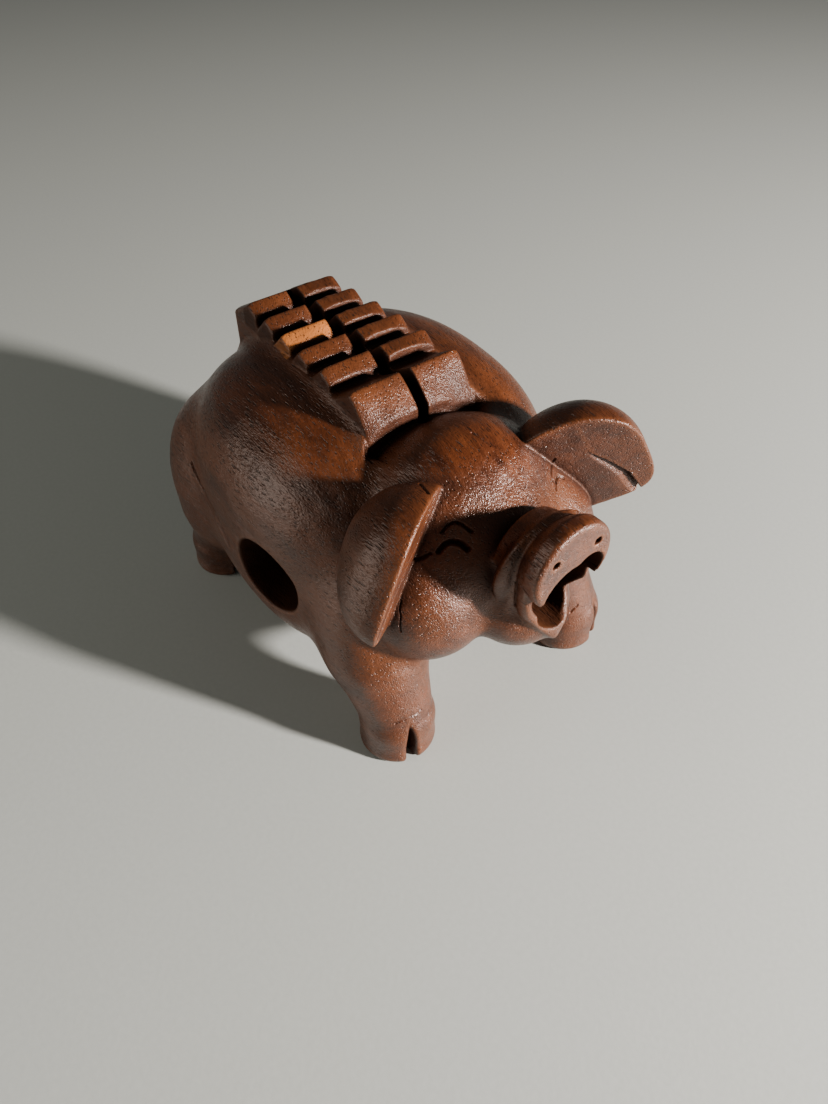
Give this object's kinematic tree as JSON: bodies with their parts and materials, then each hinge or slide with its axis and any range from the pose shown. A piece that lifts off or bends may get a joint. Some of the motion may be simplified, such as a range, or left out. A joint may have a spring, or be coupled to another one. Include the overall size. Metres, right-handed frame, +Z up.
{
  "type": "pig-shaped wooden guiro",
  "caption": "Hollow carved wooden pig with a toothed ridge and sound slit along its back, a bore across the flanks that holds a loose striker stick, and an open mouth.",
  "frame": {"origin": "centre of the bounding box's footprint, on the surface the hooves stand on", "axes": "+X towards the snout, +Y towards the animal's left, +Z up"},
  "size_m": [0.13, 0.091, 0.09],
  "materials": {
    "carved_hardwood": "semi-gloss varnish over reddish-brown hardwood, knife-cut surface",
    "striker_wood": "fine-sanded, thin varnish"
  },
  "bodies": {
    "pig": {"carved_pig": "carved_hardwood"},
    "striker": {"striker": "striker_wood"}
  },
  "joints": [
    {"name": "striker_slide", "type": "slide", "parent": "pig", "child": "striker", "axis": [0, 1, 0], "range_m": [-0.086, 0.08]}
  ]
}
